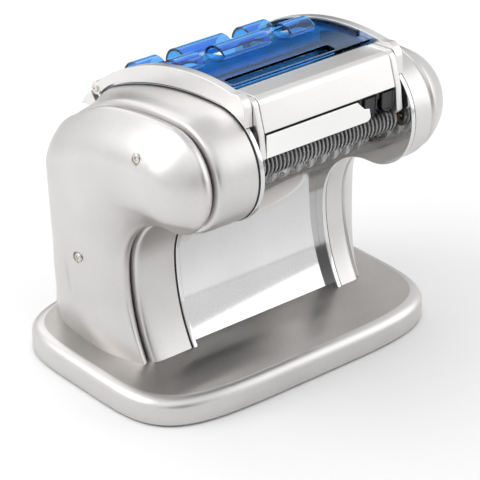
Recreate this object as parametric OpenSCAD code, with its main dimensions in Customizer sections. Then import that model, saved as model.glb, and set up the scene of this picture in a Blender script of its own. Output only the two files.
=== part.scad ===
// Electric pasta maker: geared roller head on a C-shaped body with a broad base.
// X runs along the rollers, -Y is the side the pasta leaves from, +Z is up.

/* [Base] */
// width of the base, along the rollers
base_width = 310; // [300:2:330]
// depth of the base, front to back
base_depth = 213.6; // [208:0.4:218]
// squareness of the base outline, a higher number has tighter corners
base_squareness = 4.5; // [3.6:0.1:6]
// height of the rubber feet
foot_height = 4; // [3:0.5:6]
// radius of a rubber foot
foot_radius = 12; // [9:0.5:15]

/* [Body] */
// radius of the rounded nose of the head
nose_radius = 46.8; // [46.2:0.1:47.4]
// thickness of the side housings' walls
wall = 2.4; // [1.8:0.1:3]
// how far the left side cover stands out from its band
left_bulge = 46; // [42:0.5:50]
// how far the right side cover stands out from its band
right_bulge = 43; // [38:0.5:46]

/* [Rollers] */
// working length of all rollers
roller_length = 145; // [140:0.5:150]
// radius of the two smooth rollers
smooth_radius = 14.8; // [14.2:0.1:14.8]
// radius of the cutting discs
disc_radius = 11.9; // [11.4:0.1:11.9]
// width of a narrow noodle
fine_width = 2; // [1.8:0.1:3]
// width of a broad noodle
broad_width = 6.5; // [5.5:0.5:8]
// extra gap between the smooth rollers at the widest setting
gap_travel = 1.8; // [1:0.1:1.8]

/* [Controls] */
// radius of the thickness knob
knob_radius = 21; // [17:0.5:24]
// how far the thickness knob turns
knob_turn = 270; // [180:10:300]
// thickness of the clear guard
guard_wall = 2.2; // [1.8:0.1:2.8]
// radius of the guard's raised half tubes
tube_radius = 14.8; // [13.5:0.1:15.5]

/* [Hidden] */
$fn = 64;
module_size = 1.25;
pressure = 25;
base_top = foot_height + 20;
skirt_z = 1.5;
base_y = 112 - base_depth / 2;
nose_y = -64;
nose_z = 202.5;
throat_radius = 55;
throat_z = nose_z - nose_radius - throat_radius;
heel_radius = 144;
heel_y = nose_y + throat_radius - heel_radius;
roof_radius = 262 + nose_radius;
roof_z = nose_z + nose_radius - roof_radius;
corner_radius = 55;
corner_angle = 65.6;
corner_y = nose_y + (roof_radius - corner_radius) * cos(corner_angle);
corner_z = roof_z + (roof_radius - corner_radius) * sin(corner_angle);
back_y = 101.5;
rim = 1.2;
plate = 4;
left_x = -65;
right_x = left_x + roller_length + 8;
roller_x0 = left_x + 4;
roller_x1 = right_x - 4;
left_seam = left_x - plate - 0.6;
left_edge = left_seam - 27.4;
right_seam = right_x + plate + 0.6;
right_edge = right_seam + 11.4;
left_end = left_edge - 0.4 - left_bulge;
right_end = right_edge + 0.4 + right_bulge;
dial_recess = 10;
dial_radius = knob_radius + 7.6;
dial_x = right_end - dial_recess;
guard_radius = 220;
guard_crown = 266;
guard_y = -50;
guard_z = guard_crown - guard_radius;
panel_radius = guard_radius - 4;
tube_rise = 7.4;
hinge_at = meet([guard_y, guard_z], guard_radius - 3.6, [corner_y, corner_z], corner_radius + 8);
hinge_y = hinge_at[0];
hinge_z = hinge_at[1];
shaft_radius = 6;
thin_shaft = 5;
shaft_play = 0.05;

// shafts, as [y, z]; each gear centre sits one pitch distance from its neighbour
drive_at = [-47, 226];
gauge_at = drive_at + [30 + gap_travel, 0];
rear_cut_at = along(drive_at, pitch(27, 18), 226.5);
front_cut_at = along(rear_cut_at, pitch(18, 18), 180);
idler_at = along(rear_cut_at, pitch(18, 16), 238.5);
broad_front_at = along(idler_at, pitch(16, 18), -24);
broad_rear_at = along(broad_front_at, pitch(18, 18), 0);
second_at = along(drive_at, pitch(27, 12), -60);
third_at = along(second_at, pitch(48, 40), -42);
motor_at = along(third_at, pitch(40, 14), -50);
cam_at = gauge_at + [8 + 14 + 0.3, -36];

function pitch(a, b) = (a + b) * module_size / 2;
function along(p, r, a) = p + r * [cos(a), sin(a)];
function arc(c, r, a0, a1, n) = [for (i = [0:n]) along(c, r, a0 + (a1 - a0) * i / n)];
function bearing(p, c) = atan2(p[1] - c[1], p[0] - c[0]);
// rear one of the two points where circle r round c crosses circle s round d
function meet(c, r, d, s) = let (
    gap = norm(d - c),
    u = (d - c) / gap,
    a = (gap * gap + r * r - s * s) / (2 * gap))
    c + u * a + sqrt(r * r - a * a) * [u[1], -u[0]];
function skip_first(v) = [for (i = [1:len(v) - 1]) v[i]];
function flatten(v) = [for (a = v) for (b = a) b];

// side outline of the C-shaped body, drawn d inside its outer face and standing on floor_z;
// back_steps sets how many points the straight back gets
function hook(d, floor_z, back_steps = 1) = let (
    foot = [back_y - d, floor_z],
    bend = along([corner_y, corner_z], corner_radius - d, -2))
    concat(
        arc([nose_y, nose_z], nose_radius - d, 90, 270, 36),
        skip_first(arc([nose_y, throat_z], throat_radius + d, 90, 0, 18)),
        skip_first(arc([heel_y, throat_z], heel_radius + d, 0,
            -asin((throat_z - floor_z) / (heel_radius + d)), 12)),
        [for (i = [0:back_steps - 1]) foot + (bend - foot) * i / back_steps],
        arc([corner_y, corner_z], corner_radius - d, -2, corner_angle, 10),
        [for (i = [1:11]) along([nose_y, roof_z], roof_radius - d,
            corner_angle + (90 - corner_angle) * i / 12)]);
// height-dependent face of the straight back
function back_at(z) = back_y + (corner_y + corner_radius * cos(2) - back_y) * (z - base_top)
    / (corner_z - corner_radius * sin(2) - base_top);
back_tilt = atan((back_y - back_at(base_top + 100)) / 100);

// outline of the base, drawn d inside its outer edge
function base_outline(d) = [for (i = [0:119])
    let (a = i * 3, c = cos(a), s = sin(a), p = 2 / base_squareness)
    [(base_width / 2 - d) * sign(c) * pow(abs(c), p),
     base_y + (base_depth / 2 - d) * sign(s) * pow(abs(s), p)]];

// involute half angle of a tooth
function involute(a) = tan(a) * 180 / PI - a;
function tooth_half(z, rb, r) = 360 / z * 0.23 + involute(pressure) - involute(acos(min(1, rb / r)));
function gear_outline(z, phase) = let (
    rp = z * module_size / 2,
    rb = rp * cos(pressure),
    ra = rp + 0.85 * module_size,
    rf = rp - 1.1 * module_size,
    r0 = max(rb, rf + 0.05),
    r1 = (r0 + ra) / 2,
    h0 = tooth_half(z, rb, r0),
    h1 = tooth_half(z, rb, r1),
    ha = tooth_half(z, rb, ra),
    step = [[rf, -h0], [r0, -h0], [r1, -h1], [ra, -ha], [ra, ha], [r1, h1], [r0, h0], [rf, h0]])
    [for (k = [0:z - 1]) for (s = step) along([0, 0], s[0], phase + k * 360 / z + s[1])];
// phase that puts gear b in mesh with gear a, when b lies in direction ang from a
function mesh_phase(za, phase_a, zb, ang) = ang + 180 + (ang - phase_a) * za / zb + 180 / zb;

rear_phase = mesh_phase(27, 0, 18, 226.5);
front_phase = mesh_phase(18, rear_phase, 18, 180);
idler_phase = mesh_phase(18, rear_phase, 16, 238.5);
broad_front_phase = mesh_phase(16, idler_phase, 18, -24);
broad_rear_phase = mesh_phase(18, broad_front_phase, 18, 0);
second_phase = mesh_phase(27, 0, 12, -60);
third_phase = mesh_phase(48, 0, 40, -42);
motor_phase = mesh_phase(40, third_phase, 14, -50);
gauge_phase = mesh_phase(24, 0, 24, 0);

module slab(x0, x1) {
    translate([x0, 0, 0])
        rotate([90, 0, 90])
            linear_extrude(height = x1 - x0)
                children();
}

module rod(x0, x1, at, r) {
    translate([x0, at[0], at[1]])
        rotate([0, 90, 0])
            cylinder(h = x1 - x0, r = r);
}

module gear(x0, x1, at, z, phase, bore) {
    difference() {
        slab(x0, x1)
            translate(at)
                polygon(gear_outline(z, phase));
        rod(x0 - 1, x1 + 1, at, bore);
    }
}

module ring(x0, x1, at, r, bore) {
    difference() {
        rod(x0, x1, at, r);
        rod(x0 - 1, x1 + 1, at, bore);
    }
}

// closed skin between two stacks of equal outlines, joined along their first outlines;
// with a tip, the ends are closed by strips that start at that point of the outline
module skin(outer, inner, tip = -1) {
    n = len(outer[0]);
    a = len(outer);
    b = len(inner);
    last = (a + b - 1) * n;
    polyhedron(
        points = concat(flatten(outer), flatten(inner)),
        faces = concat(
            [for (i = [0:a - 2]) for (j = [0:n - 1])
                for (t = mesh_cell(i * n, n, j)) t],
            [for (i = [a:a + b - 2]) for (j = [0:n - 1])
                for (t = mesh_cell(i * n, n, j)) [t[0], t[2], t[1]]],
            [for (j = [0:n - 1]) [j, (j + 1) % n, a * n + (j + 1) % n]],
            [for (j = [0:n - 1]) [j, a * n + (j + 1) % n, a * n + j]],
            tip < 0
                ? [[for (j = [0:n - 1]) a * n - 1 - j], [for (j = [0:n - 1]) last + j]]
                : concat(
                    [for (t = strips(n, tip)) [for (j = t) (a - 1) * n + j]],
                    [for (t = strips(n, tip)) [for (j = [2:-1:0]) last + t[j]]])),
        convexity = 6);
}

// two triangles between neighbours j and j + 1 of one ring and the same points of the next
function mesh_cell(start, n, j) = let (k = (j + 1) % n)
    [[start + j, start + n + j, start + n + k], [start + j, start + n + k, start + k]];

// triangles that fill an outline by joining its two sides point for point, from the tip on
function strips(n, tip) = let (half = (n - 1) / 2) concat(
    [for (k = [0:half - 1]) [(tip - k + n) % n, (tip - k - 1 + n) % n, tip + k + 1]],
    [for (k = [1:half - 1]) [(tip - k + n) % n, tip + k + 1, tip + k]]);

// ---- base ----

module base_shell() {
    color([0.76, 0.75, 0.73])
        union() {
            skin(
                [for (s = [[skirt_z, 1.2], [skirt_z + 1.2, 0], [base_top - 8, 0], [base_top - 5.4, 0.7],
                    [base_top - 3.2, 2.2], [base_top - 1.4, 4.6], [base_top - 0.25, 7.2], [base_top, 8.6]])
                    [for (p = base_outline(s[1])) [p[0], p[1], s[0]]]],
                [for (s = [[skirt_z, 3.6], [base_top - 9, 3.6], [base_top - 4.6, 6],
                    [base_top - 2.4, 10.5]])
                    [for (p = base_outline(s[1])) [p[0], p[1], s[0]]]]);
            foot_places()
                difference() {
                    translate([0, 0, foot_height + 2])
                        cylinder(h = base_top - foot_height - 3.4, r = 5);
                    translate([0, 0, foot_height + 1])
                        cylinder(h = 9, r = 2);
                }
        }
}

module base_cover() {
    color([0.08, 0.08, 0.08])
        difference() {
            translate([0, 0, foot_height])
                linear_extrude(height = 2)
                    polygon(base_outline(4));
            for (i = [-4:4])
                translate([i * 12 - 60, base_y - 20, 0])
                    cube([4, 40, 20]);
            foot_places()
                cylinder(h = 20, r = 2);
        }
}

module foot_places() {
    for (sx = [-1, 1])
        for (sy = [-1, 1])
            translate([sx * (base_width / 2 - 34), base_y + sy * (base_depth / 2 - 32), 0])
                children();
}

module feet() {
    color([0.06, 0.06, 0.06])
        foot_places()
            difference() {
                rotate_extrude()
                    polygon([[0, 0], [foot_radius - 1.2, 0], [foot_radius, 1.2],
                        [foot_radius - 1, foot_height], [0, foot_height]]);
                translate([0, 0, -1])
                    cylinder(h = foot_height + 2, r = 2);
                translate([0, 0, -1])
                    cylinder(h = 2.6, r = 4.6);
            }
}

module foot_screws() {
    color([0.7, 0.7, 0.7])
        foot_places()
            difference() {
                union() {
                    translate([0, 0, 1.6])
                        cylinder(h = foot_height + 7, r = 1.95);
                    translate([0, 0, 0.4])
                        cylinder(h = 1.2, r = 4.2);
                }
                for (a = [0, 90])
                    rotate([0, 0, a])
                        translate([-2, -0.4, 0])
                            cube([4, 0.8, 1]);
            }
}

// ---- side plates and housings ----

module shaft_holes(x0, x1) {
    rod(x0, x1, drive_at, 9);
    for (p = [front_cut_at, rear_cut_at, broad_front_at, broad_rear_at])
        rod(x0, x1, p, 8);
    slab(x0, x1)
        translate(gauge_at + [-10.4 - gap_travel / 2, -7.9])
            square([20.8, 15.8]);
}

module left_flange() {
    color([0.86, 0.86, 0.87])
        difference() {
            slab(left_x - plate, left_x)
                polygon(hook(-rim, base_top));
            shaft_holes(left_x - plate - 1, left_x + 1);
            rod(left_x - plate - 1, left_x + 1, motor_at, 33);
        }
}

module right_flange() {
    color([0.86, 0.86, 0.87])
        difference() {
            slab(right_x, right_x + plate)
                polygon(hook(-rim, base_top));
            shaft_holes(right_x - 1, right_x + plate + 1);
            rod(right_x - 1, right_x + plate + 1, cam_at, thin_shaft + shaft_play);
        }
}

module band(x0, x1) {
    slab(x0, x1)
        difference() {
            polygon(hook(0, base_top));
            polygon(hook(wall, base_top - 1));
        }
}

module left_band() {
    color([0.77, 0.76, 0.75])
        difference() {
            band(left_edge, left_seam);
            on_back(120)
                translate([-8, -20, -12])
                    cube([16, 40, 24]);
            on_back(58)
                translate([-9, -20, -6])
                    cube([18, 40, 12]);
        }
}

module right_band() {
    color([0.77, 0.76, 0.75])
        band(right_seam, right_edge);
}

function ease(t) = let (u = min(max(t, 0), 1)) u * u * (3 - 2 * u);
// share of the taper at a point of the side: none at the nose and the throat, all of it on the roof
// and the back
function drawn_in(p) = ease(max((p[0] - 5) / 75, (p[1] - 205) / 40));
// ring of a cover, d inside the side outline
function cover_ring(d, taper, floor_z) = let (
    near = hook(d, floor_z, 8),
    far = hook(d + 10 * taper * (1 - d / 45), floor_z, 8))
    [for (i = [0:len(near) - 1]) near[i] + (far[i] - near[i]) * drawn_in(near[i])];
// share of the full bulge at a point of the side: less near the base and towards the edges of the leg
function fullness(p) = (1 - 0.55 * pow(max(100 - p[1], 0) / (100 - base_top), 2))
    * (1 - 0.6 * min(max((175 - p[1]) / 75, 0), 1) * pow((p[0] - 23) / 66, 2));
// share of the full bulge at the distance d from the outline
function dome(d) = 1 - pow(1 - (d - 1) / 44, 2.5);

// edge of a cover as [distance along X, inset, taper]: it dips into a crease and curls out of it again
curl = [[0, 0.4, 0], [1, 0.6, 0.1], [4, 1.2, 0.5], [7, 2.8, 0.8], [8.8, 3.8, 0.9], [10.2, 3.6, 1],
    [12, 2.2, 1], [14.5, 1.3, 1]];
curl_end = 18;

// side cover that stands out by depth, with its crease scaled by crease
module side_cover(depth, crease) {
    swell = depth - curl_end * crease;
    skin(
        concat(
            [for (c = curl)
                [for (p = cover_ring(0.4 + (c[1] - 0.4) * crease, c[2], base_top))
                    [c[0] * crease, p[0], p[1]]]],
            [for (d = [1, 2.5, 5, 9, 14, 20, 28, 36, 44])
                [for (p = cover_ring(d, 1, base_top))
                    [depth - swell * (1 - dome(d) * fullness(p)), p[0], p[1]]]]),
        concat(
            [for (x = [0, 13 * crease])
                [for (p = cover_ring(4.2 + wall, 1, base_top + wall)) [x, p[0], p[1]]]],
            [for (d = [3, 8, 15, 24, 34, 41])
                [for (p = cover_ring(d + wall, 1, base_top + wall))
                    [depth - swell * (1 - dome(d) * fullness(p)) - wall, p[0], p[1]]]]),
        tip = 18);
}

// screws that hold each side cover, at the head and at the leg, as [y, z, how far the surface lies
// below the crown there, how far below the surface the boss inside ends]
left_screws = [[-50.3, 222.2, left_bulge * 0.094, 8], [22.8, 108.7, left_bulge * 0.033, 3]];
right_screws = [[-74, 199, right_bulge * 0.022, 2], [39, 98, right_bulge * 0.067, 2.5]];
boss_depth = 16;

module screw_bosses(places, crown) {
    for (p = places)
        rod(crown - p[2] - boss_depth, crown - p[2] - p[3], p, 6);
}

module screw_holes(places, crown) {
    for (p = places) {
        rod(-5, crown + 5, p, 2.2);
        rod(crown - p[2] - 0.4, crown + 5, p, 4.5);
    }
}

module left_cover() {
    color([0.78, 0.77, 0.76])
        translate([left_edge - 0.4, 0, 0])
            mirror([1, 0, 0])
                difference() {
                    union() {
                        side_cover(left_bulge, 1);
                        screw_bosses(left_screws, left_bulge);
                    }
                    screw_holes(left_screws, left_bulge);
                }
}

module right_cover() {
    color([0.78, 0.77, 0.76])
        translate([right_edge + 0.4, 0, 0])
            difference() {
                union() {
                    side_cover(right_bulge, 0.6);
                    screw_bosses(right_screws, right_bulge);
                    rod(right_bulge - dial_recess - wall, right_bulge + 1, cam_at, dial_radius + wall);
                }
                screw_holes(right_screws, right_bulge);
                rod(right_bulge - dial_recess, right_bulge + 5, cam_at, dial_radius);
                rod(-5, right_bulge + 5, cam_at, 5.6);
            }
}

module cover_screw(crown, p) {
    face = crown - p[2] - 0.4;
    difference() {
        union() {
            rod(face - 22, face, p, 2.1);
            rod(face, face + 1.3, p, 4.1);
        }
        for (a = [0, 90])
            translate([face + 0.5, p[0], p[1]])
                rotate([a, 0, 0])
                    translate([0, -2.4, -0.5])
                        cube([1.6, 4.8, 1]);
    }
}

module cover_screws() {
    color([0.82, 0.82, 0.84])
        union() {
            for (p = right_screws)
                cover_screw(right_end, p);
            mirror([1, 0, 0])
                for (p = left_screws)
                    cover_screw(-left_end, p);
        }
}

// ---- body between the plates ----

module chute() {
    color([0.9, 0.9, 0.91])
        slab(left_x, right_x)
            polygon(concat(
                arc([heel_y, throat_z], heel_radius + 7,
                    -asin((throat_z - base_top) / (heel_radius + 7)), 0, 12),
                arc([nose_y, throat_z], throat_radius + 7, 0, 64, 20),
                arc([nose_y, throat_z], throat_radius + 8.5, 64, 0, 20),
                arc([heel_y, throat_z], heel_radius + 8.5, 0,
                    -asin((throat_z - base_top) / (heel_radius + 8.5)), 12)));
}

module rear_shell() {
    color([0.75, 0.75, 0.75])
        slab(left_x, right_x)
            polygon(concat(
                [[back_y - 3, base_top]],
                arc([corner_y, corner_z], corner_radius - 3, -2, corner_angle, 16),
                arc([nose_y, roof_z], roof_radius - 3, corner_angle + 1, 79, 10),
                arc([nose_y, roof_z], roof_radius - 4.6, 79, corner_angle + 1, 10),
                arc([corner_y, corner_z], corner_radius - 4.6, corner_angle, -2, 16),
                [[back_y - 4.6, base_top]]));
}

module inner_wall() {
    top = gauge_at[1] - smooth_radius - 3;
    color([0.07, 0.07, 0.07])
        slab(left_x, right_x)
            difference() {
                polygon([[-38.5, 160], [-21.4, 166], [-21.4, top], [-20, top], [-20, 164.8], [-38, 158.8]]);
                translate([nose_y, throat_z])
                    circle(r = throat_radius + 8.5);
            }
}

module tie_rods() {
    color([0.6, 0.6, 0.62])
        for (p = [[-12, 158], [70, 190], [70, 60]])
            rod(left_x, right_x, p, 4);
}

// ---- cutter head front ----

bar_inset = 9.1;
bar_x0 = left_x + bar_inset;
bar_x1 = right_x - bar_inset;

module front_bar() {
    color([0.8, 0.8, 0.79])
        slab(bar_x0, bar_x1)
            polygon(concat(
                [[-66.5, 259.7]],
                arc([-86.6, 253.8], 7.6, 88, 164, 10),
                [[-100.6, 235.2], [-98, 235.2]],
                arc([-86.6, 253.8], 5, 164, 88, 10),
                [[-66.5, 257.1]]));
}

module bar_cheeks() {
    color([0.79, 0.79, 0.78])
        for (side = [0, 1])
            translate([side * (left_x + right_x), 0, 0])
                mirror([side, 0, 0])
                    union() {
                        slab(left_x + 3, bar_x0 - 0.3)
                            polygon(concat(
                                [[-68.5, 245], [-67, 259.7]],
                                arc([-86.6, 253.8], 7.6, 88, 164, 10),
                                [[-101.2, 234], [-103.6, 216], [-101, 212.6], [-92, 218.5], [-80, 219]]));
                        slab(bar_x0 - 0.4, bar_x0 + 5)
                            polygon([[-70, 253], [-84, 253], [-84, 258.59], [-70, 257.39]]);
                        rod(left_x, left_x + 4, [-86, 228], 5);
                    }
}

module tray() {
    end = bar_x0 + 105;
    color([0.9, 0.9, 0.9])
        translate([0, -101.6, 0])
            rotate([90, 0, 0])
                linear_extrude(height = 1.6)
                    polygon(concat(
                        [[bar_x0, 234.4], [bar_x0, 215.4], [end - 2, 215.4]],
                        arc([end - 2, 219.4], 4, -80, 30, 8),
                        [[end + 0.6, 226], [end - 4.5, 227], [end - 12, 234.4]]));
}

module rib_comb() {
    count = floor((bar_x1 - bar_x0 - 4) / 18.4);
    color([0.06, 0.06, 0.065])
        union() {
            translate([bar_x0 - 0.3, -99.4, 229])
                cube([bar_x1 - bar_x0 + 0.6, 4.8, 5.4]);
            for (i = [0:count - 1])
                translate([bar_x1 - 8 - i * 18.4, -99.2, 0])
                    rotate([90, 0, 0])
                        difference() {
                            linear_extrude(height = 2.4)
                                tongue(6.7);
                            translate([0, 0, 1])
                                linear_extrude(height = 3)
                                    tongue(5.3);
                        }
        }
}

module tongue(r) {
    tip_z = 220.4;
    translate([0, tip_z])
        circle(r = r);
    translate([-r, tip_z])
        square([2 * r, 14]);
}

// side cheeks and front lip of the slot where the dough goes in
module feed_guides() {
    color([0.1, 0.1, 0.11])
        union() {
            for (x = [left_x + 3, right_x - 5.6])
                slab(x, x + 2.6)
                    polygon([[-60, 243.2], [-68.5, 245], [-67.53, 254.5], [-30, 255.5], [-8, 250],
                        [-8, 243.2]]);
            slab(bar_x0 + 0.3, bar_x1 - 0.3)
                polygon([[-66.5, 257.2], [-66.5, 259.6], [-64.8, 259.6], [-60.6, 241.5], [-62.2, 241]]);
        }
}

// ---- rollers, bushes and gears ----

module smooth_roller(at, r, x_left, x_right) {
    union() {
        rod(roller_x0, roller_x1, at, smooth_radius);
        rod(x_left, x_right, at, r);
    }
}

module bushes() {
    color([0.72, 0.53, 0.26])
        for (x = [left_x - plate, right_x]) {
            ring(x, x + plate, drive_at, 9, shaft_radius + shaft_play);
            for (p = [front_cut_at, rear_cut_at, broad_front_at, broad_rear_at])
                ring(x, x + plate, p, 8, thin_shaft + shaft_play);
        }
}

module drive_roller() {
    color([0.85, 0.85, 0.86])
        smooth_roller(drive_at, shaft_radius, left_x - 19, right_x + 16);
}

// wide gear at the left for the train, second one at the right for the gauge roller
module drive_gears() {
    color([0.45, 0.45, 0.47])
        union() {
            gear(left_x - 18.5, left_x - 6.5, drive_at, 27, 0, shaft_radius);
            gear(right_x + 8.2, right_x + 15.8, drive_at, 24, 0, shaft_radius);
        }
}

module gauge_roller() {
    color([0.85, 0.85, 0.86])
        smooth_roller(gauge_at, thin_shaft, left_x - 3.6, right_x + 16);
}

module gauge_gear() {
    color([0.45, 0.45, 0.47])
        gear(right_x + 8.2, right_x + 15.8, gauge_at, 24, gauge_phase, thin_shaft);
}

// grooved roller: discs every second step, so that two of them interleave
module cutter(at, width, start) {
    core = pitch(18, 18) - disc_radius - 0.6;
    first = roller_x0 + 0.5 + start * width;
    count = floor((roller_x1 - 0.5 - first) / (2 * width));
    translate([0, at[0], at[1]])
        rotate([0, 90, 0])
            rotate_extrude()
                polygon(concat(
                    [[0, roller_x0], [core, roller_x0]],
                    [for (i = [0:count - 1]) let (x = first + 2 * width * i)
                        for (p = [[core, x + 0.15], [disc_radius, x + 0.15], [disc_radius, x + width - 0.15],
                            [core, x + width - 0.15]]) p],
                    [[core, roller_x1], [0, roller_x1]]));
}

module cutter_shaft(at, reach) {
    rod(left_x - reach, roller_x0 + 2, at, thin_shaft);
    rod(roller_x1 - 2, right_x + plate - 0.4, at, thin_shaft);
}

module fine_front() {
    color([0.8, 0.8, 0.81])
        union() {
            cutter(front_cut_at, fine_width, 0);
            cutter_shaft(front_cut_at, 12);
        }
}

module fine_rear() {
    color([0.8, 0.8, 0.81])
        union() {
            cutter(rear_cut_at, fine_width, 1);
            cutter_shaft(rear_cut_at, 19);
        }
}

module broad_front() {
    color([0.8, 0.8, 0.81])
        union() {
            cutter(broad_front_at, broad_width, 0);
            cutter_shaft(broad_front_at, 19);
        }
}

module broad_rear() {
    color([0.8, 0.8, 0.81])
        union() {
            cutter(broad_rear_at, broad_width, 1);
            cutter_shaft(broad_rear_at, 12);
        }
}

module fine_front_gear() {
    color([0.5, 0.5, 0.5])
        gear(left_x - 11.5, left_x - 6.5, front_cut_at, 18, front_phase, thin_shaft);
}

module fine_rear_gear() {
    color([0.5, 0.5, 0.5])
        gear(left_x - 18.5, left_x - 6.5, rear_cut_at, 18, rear_phase, thin_shaft);
}

module broad_front_gear() {
    color([0.5, 0.5, 0.5])
        gear(left_x - 18.5, left_x - 6.5, broad_front_at, 18, broad_front_phase, thin_shaft);
}

module broad_rear_gear() {
    color([0.5, 0.5, 0.5])
        gear(left_x - 11.5, left_x - 6.5, broad_rear_at, 18, broad_rear_phase, thin_shaft);
}

module idler_gear() {
    color([0.88, 0.86, 0.8])
        gear(left_x - 18.5, left_x - 13.5, idler_at, 16, idler_phase, 3 + shaft_play);
}

module second_gear() {
    color([0.88, 0.86, 0.8])
        union() {
            gear(left_x - 25.5, left_x - 20.5, second_at, 48, 0, 4 + shaft_play);
            gear(left_x - 20.6, left_x - 13.5, second_at, 12, second_phase, 4 + shaft_play);
        }
}

module third_gear() {
    color([0.88, 0.86, 0.8])
        gear(left_x - 25.5, left_x - 20.5, third_at, 40, third_phase, 4 + shaft_play);
}

module gear_pins() {
    color([0.62, 0.62, 0.64])
        union() {
            rod(left_x - 27, left_x - plate, second_at, 4);
            rod(left_x - 27, left_x - plate, third_at, 4);
            rod(left_x - 19.5, left_x - plate, idler_at, 3);
        }
}

// ---- drive ----

post_at = [[10, 215], [66, 150], [-26, 152]];

module gearbox_plate() {
    color([0.68, 0.68, 0.7])
        difference() {
            slab(left_x - 29, left_x - 27)
                polygon([[-46, 190], [-57, 204], [-57, 228], [14, 228], [75, 158], [72, 140], [28, 118],
                    [-20, 144], [-32, 152]]);
            rod(left_x - 30, left_x - 26, motor_at, 4.6);
        }
}

// posts of the gear plate, and the pillars the side covers are screwed to
module posts() {
    color([0.62, 0.62, 0.64])
        union() {
            for (p = post_at)
                rod(left_x - 27, left_x - plate, p, 3.4);
            mirror([1, 0, 0]) {
                pillar(-left_x + 29, -left_end, left_screws[0]);
                pillar(-left_x + plate, -left_end, left_screws[1]);
            }
            pillar(right_x + plate, right_end, right_screws[0]);
            pillar(right_x + plate, right_end, right_screws[1]);
        }
}

module pillar(x0, crown, p) {
    x1 = crown - p[2] - boss_depth - 0.3;
    difference() {
        rod(x0, x1, p, 4.6);
        rod(x1 - 24, x1 + 1, p, 2.15);
    }
}

module motor_body() {
    color([0.2, 0.2, 0.21])
        difference() {
            union() {
                rod(left_x - 17, left_x + 1, motor_at, 28);
                rod(left_x, left_x + 40, motor_at, 31);
                rod(left_x + 40, left_x + 52, motor_at, 22);
            }
            rod(left_x - 18, left_x + 30, motor_at, 4.4);
        }
}

module motor_ring() {
    color([0.55, 0.55, 0.57])
        ring(left_x, left_x + 5, motor_at, 36.5, 31);
}

module motor_shaft() {
    color([0.7, 0.7, 0.72])
        union() {
            rod(left_x - 28.6, left_x + 20, motor_at, 4);
            slab(left_x - 25.5, left_x - 20.5)
                translate(motor_at)
                    polygon(gear_outline(14, motor_phase));
        }
}

// ---- roller gap adjuster ----

module carriage() {
    bore = thin_shaft + shaft_play;
    color([0.5, 0.5, 0.52])
        union() {
            for (x = [left_x + 0.5, right_x - 3.5])
                difference() {
                    slab(x, x + 3)
                        translate(gauge_at + [-9, -7.5])
                            square([38, 15]);
                    rod(x - 1, x + 4, gauge_at, bore);
                }
            rod(left_x + 3.4, right_x - 3.4, gauge_at + [25, 0], 4);
        }
}

module slide_blocks() {
    bore = thin_shaft + shaft_play;
    color([0.72, 0.53, 0.26])
        for (x = [[left_x - plate, left_x + 0.5], [right_x - 0.5, right_x + plate + 0.6]])
            difference() {
                slab(x[0], x[1])
                    translate(gauge_at + [-9, -7.5])
                        square([18, 15]);
                rod(x[0] - 1, x[1] + 1, gauge_at, bore);
            }
}

module gap_arm() {
    color([0.5, 0.5, 0.52])
        difference() {
            slab(right_x + plate + 0.6, right_x + plate + 3.4)
                translate(gauge_at + [-8, -43])
                    square([16, 51]);
            rod(right_x + plate, right_x + plate + 4, gauge_at, thin_shaft + shaft_play);
        }
}

module gap_cam() {
    lift = 14;
    color([0.9, 0.88, 0.82])
        difference() {
            slab(right_x + plate + 0.6, right_x + plate + 3.4)
                translate(cam_at)
                    polygon([for (i = [0:71])
                        let (a = i * 5, t = a > knob_turn + 40 ? 0 : min(max(a - 20, 0), knob_turn))
                            along([0, 0], lift + gap_travel * t / knob_turn, 180 + a)]);
            rod(right_x, right_x + plate + 9, cam_at, thin_shaft);
        }
}

module knob_shaft() {
    color([0.66, 0.66, 0.68])
        rod(right_x, dial_x + 12, cam_at, thin_shaft);
}

module knob() {
    color([0.1, 0.1, 0.11])
        difference() {
            union() {
                rod(dial_x + 1.2, dial_x + 4, cam_at, knob_radius);
                rod(dial_x + 4, dial_x + 17, cam_at, knob_radius - 2.4);
                for (i = [0:17])
                    rod(dial_x + 4, dial_x + 15.6, along(cam_at, knob_radius - 2.4, i * 20), 1.5);
            }
            rod(dial_x, dial_x + 12, cam_at, thin_shaft);
            translate([dial_x + 16.2, cam_at[0] - 0.9, cam_at[1] + 5])
                cube([2, 1.8, knob_radius - 8]);
        }
}

module setting_ring() {
    color([0.82, 0.82, 0.83])
        difference() {
            union() {
                ring(dial_x, dial_x + 0.8, cam_at, knob_radius + 6, 6.2);
                for (i = [0:5])
                    rod(dial_x + 0.7, dial_x + 1.3,
                        along(cam_at, knob_radius + 3, 90 + i * knob_turn / 5), 1.2);
            }
            rod(dial_x - 1, dial_x + 2, cam_at, 6.2);
        }
}

// ---- guard ----

guard_x0 = left_x + 2.6;
guard_x1 = right_x - 2.6;
feed_x0 = -55;
feed_length = 107;
feed_y0 = -61;
feed_width = 10.5;
// rows of half tubes, as angles round the guard's centre, and where the tubes of each row start and end
tube_rows = [76.1, 61.9];
tube_spans = [[guard_x0 + 0.2, guard_x0 + 23.5], [guard_x0 + 42.9, guard_x0 + 92.1],
    [guard_x1 - 35.5, guard_x1 - 10.3]];

// cross-section of a half tube, above the height low
module tube_section(r, low) {
    intersection() {
        translate([0, guard_wall + tube_rise - tube_radius])
            circle(r = r);
        translate([-tube_radius, low])
            square([2 * tube_radius, 2 * tube_radius]);
    }
}

// lays a flat drawing on the guard panel's inner face at every half tube and extrudes it along X,
// shorter by trim at each end
module on_tubes(trim) {
    for (a = tube_rows)
        for (s = tube_spans)
            slab(s[0] + trim, s[1] - trim)
                translate([guard_y, guard_z])
                    rotate(a - 90)
                        translate([0, panel_radius - guard_wall])
                            children();
}

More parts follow.
